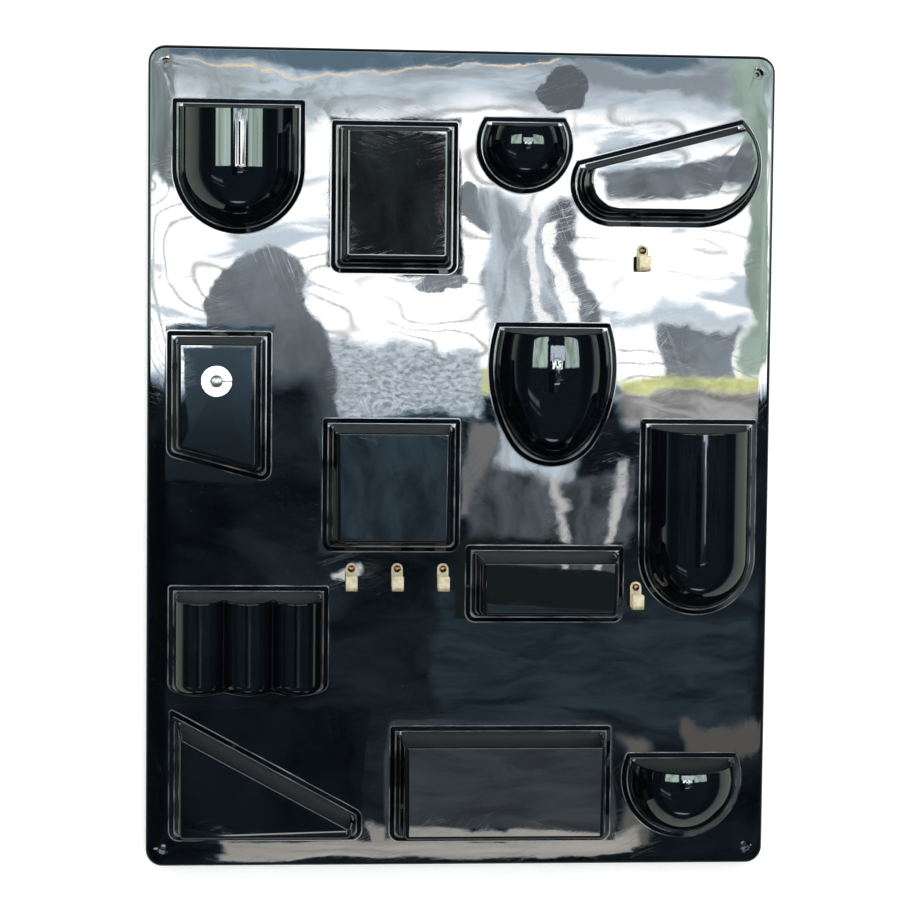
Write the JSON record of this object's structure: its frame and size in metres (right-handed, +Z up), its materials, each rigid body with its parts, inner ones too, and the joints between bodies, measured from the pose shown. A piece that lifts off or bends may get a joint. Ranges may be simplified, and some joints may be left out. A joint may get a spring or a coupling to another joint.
{
  "type": "wall organiser panel",
  "caption": "Wall-hung moulded organiser board with open-topped pockets of many shapes, riveted swivel hooks and a slit clip disc, fixed through its corner holes.",
  "frame": {"origin": "middle of the wall plane, behind the centre of the board", "axes": "+X to the right seen from the front, +Z up, the front faces -Y and the wall lies in Y = 0"},
  "size_m": [0.52, 0.0657, 0.68],
  "materials": {
    "board": "high-gloss black moulded plastic, softly wavy, finely scratched",
    "back_plate": "glossy black sheet plastic",
    "hook": "pale brass-plated strip, worn",
    "hook_rivet": "copper-coloured domed rivet head",
    "disc": "bright plated sheet",
    "disc_rivet": "bright plated domed head"
  },
  "bodies": {
    "board": {"panel": "board", "back_plate_upper_tray": "back_plate", "back_plate_square_bin": "back_plate", "back_plate_short_tray": "back_plate", "back_plate_lower_tray": "back_plate", "back_plate_clip_bin": "back_plate", "back_plate_triangle_bin": "back_plate", "back_plate_slant_bin": "back_plate", "back_plate_tube_rack": "back_plate", "back_plate_wide_cup": "back_plate", "back_plate_tall_cup": "back_plate", "back_plate_small_cup": "back_plate", "back_plate_bowl": "back_plate", "back_plate_egg_cup": "back_plate", "hook_rivets": "hook_rivet", "disc_rivet": "disc_rivet"},
    "hook_row_left_strip": {"hook_row_left": "hook"},
    "hook_row_middle_strip": {"hook_row_middle": "hook"},
    "hook_row_right_strip": {"hook_row_right": "hook"},
    "hook_upper_strip": {"hook_upper": "hook"},
    "hook_lower_strip": {"hook_lower": "hook"},
    "disc_plate": {"clip_disc": "disc"}
  },
  "joints": [
    {"name": "swivel_row_left", "type": "hinge", "parent": "board", "child": "hook_row_left_strip", "pos_m": [-0.0905, -0.01745, -0.09], "axis": [0, -1, 0], "range_deg": [-90, 90]},
    {"name": "swivel_row_middle", "type": "hinge", "parent": "board", "child": "hook_row_middle_strip", "pos_m": [-0.0523, -0.01745, -0.09], "axis": [0, -1, 0], "range_deg": [-90, 90]},
    {"name": "swivel_row_right", "type": "hinge", "parent": "board", "child": "hook_row_right_strip", "pos_m": [-0.0141, -0.01745, -0.09], "axis": [0, -1, 0], "range_deg": [-90, 90]},
    {"name": "swivel_upper", "type": "hinge", "parent": "board", "child": "hook_upper_strip", "pos_m": [0.15, -0.01745, 0.177], "axis": [0, -1, 0], "range_deg": [-90, 90]},
    {"name": "swivel_lower", "type": "hinge", "parent": "board", "child": "hook_lower_strip", "pos_m": [0.1486, -0.01745, -0.105], "axis": [0, -1, 0], "range_deg": [-18, 35]},
    {"name": "disc_turn", "type": "hinge", "parent": "board", "child": "disc_plate", "pos_m": [-0.2019, -0.06255, 0.0662], "axis": [0, -1, 0], "continuous": true}
  ]
}
